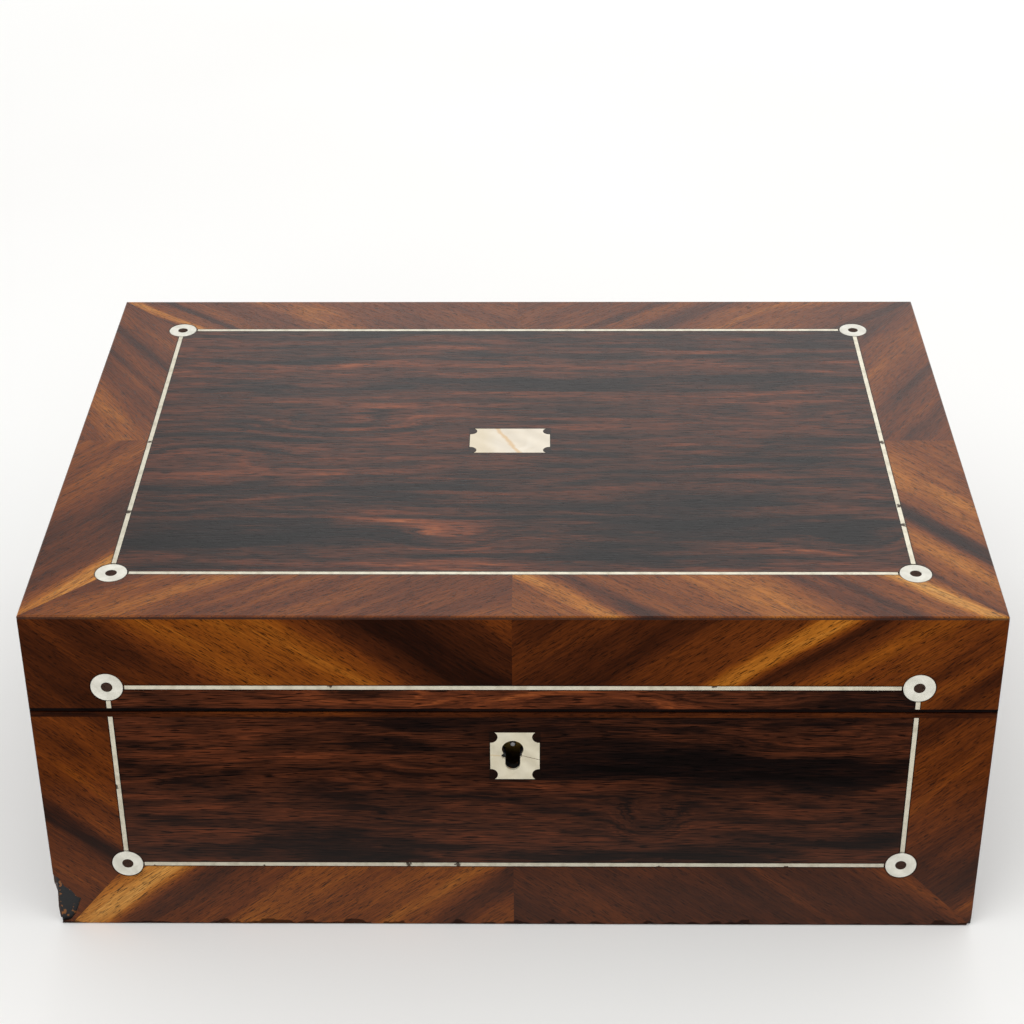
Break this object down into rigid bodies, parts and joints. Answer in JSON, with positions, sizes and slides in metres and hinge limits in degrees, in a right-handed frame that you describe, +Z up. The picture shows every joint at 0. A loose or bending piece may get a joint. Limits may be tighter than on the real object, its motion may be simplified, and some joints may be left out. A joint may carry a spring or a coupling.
{
  "type": "inlaid wooden box",
  "caption": "Rectangular veneered wooden box with a hinged lid, string inlay, shell roundels, a mortised lock and a lift-out tray inside.",
  "frame": {"origin": "centre of the flat underside", "axes": "+X to the right seen from the front, along the longest side; +Y to the back, where the hinges are; +Z up, out of the top of the lid"},
  "size_m": [0.3, 0.221, 0.122],
  "materials": {
    "carcass_mahogany": "satin",
    "panel_rosewood": "satin",
    "crossbanding": "satin",
    "side_rosewood": "satin",
    "tray_rosewood": "satin",
    "red_lipping": "satin",
    "dark_lipping": "satin",
    "string_metal": "satin",
    "shell_roundels": "polished",
    "ebony_dots": "satin",
    "shell_escutcheon": "gloss",
    "shell_cartouche": "gloss",
    "lock_brass": "satin",
    "lock_steel": "satin",
    "hinge_brass": "satin",
    "screw_brass": "satin",
    "velvet": "matte",
    "silk_lining": "satin",
    "ribbon_silk": "satin"
  },
  "bodies": {
    "base": {"base_front_board": "carcass_mahogany", "base_back_board": "carcass_mahogany", "base_side_boards": "carcass_mahogany", "base_bottom_board": "carcass_mahogany", "base_front_panel": "panel_rosewood", "base_band_bottom_left": "crossbanding", "base_band_bottom_right": "crossbanding", "base_band_left": "crossbanding", "base_band_right": "crossbanding", "base_side_veneers": "side_rosewood", "base_back_veneer": "side_rosewood", "base_rim_lipping": "red_lipping", "base_stringing": "string_metal", "base_roundels": "shell_roundels", "base_roundel_dots": "ebony_dots", "base_screws": "screw_brass", "base_floor_pad": "velvet", "escutcheon": "shell_escutcheon", "lock_case": "lock_brass", "lock_plate": "lock_brass", "lock_drill_pin": "lock_steel", "lock_lever": "lock_steel", "hinge_base_leaves": "hinge_brass", "hinge_pins": "hinge_brass", "tray_shelves": "carcass_mahogany"},
    "lid": {"lid_front_board": "carcass_mahogany", "lid_back_board": "carcass_mahogany", "lid_side_boards": "carcass_mahogany", "lid_top_board": "carcass_mahogany", "top_panel": "panel_rosewood", "top_band_back_left": "crossbanding", "top_band_back_right": "crossbanding", "top_band_front_left": "crossbanding", "top_band_front_right": "crossbanding", "top_band_left_back": "crossbanding", "top_band_left_front": "crossbanding", "top_band_right_back": "crossbanding", "top_band_right_front": "crossbanding", "lid_band_front_left": "crossbanding", "lid_band_front_right": "crossbanding", "lid_band_left": "crossbanding", "lid_band_right": "crossbanding", "lid_front_strip": "panel_rosewood", "lid_side_veneers": "side_rosewood", "lid_back_veneer": "side_rosewood", "lid_rim_lipping": "dark_lipping", "lid_stringing": "string_metal", "lid_roundels": "shell_roundels", "lid_roundel_dots": "ebony_dots", "lid_screws": "screw_brass", "lid_lining_pad": "silk_lining", "cartouche": "shell_cartouche", "link_plate": "lock_brass", "hinge_lid_leaves": "hinge_brass"},
    "lock_bolt": {"lock_bolt": "lock_brass"},
    "tray": {"tray_floor": "carcass_mahogany", "tray_walls": "tray_rosewood", "tray_dividers": "tray_rosewood", "tray_pads": "velvet", "tray_ribbons": "ribbon_silk"}
  },
  "joints": [
    {"name": "lid_hinge", "type": "hinge", "parent": "base", "child": "lid", "pos_m": [0, 0.1106, 0.08655], "axis": [-1, 0, 0], "range_deg": [0, 100]},
    {"name": "lock_bolt_slide", "type": "slide", "parent": "base", "child": "lock_bolt", "axis": [1, 0, 0], "range_m": [0, 0.004]},
    {"name": "tray_lift", "type": "slide", "parent": "base", "child": "tray", "axis": [0, 0, 1], "range_m": [0, 0.018]}
  ]
}
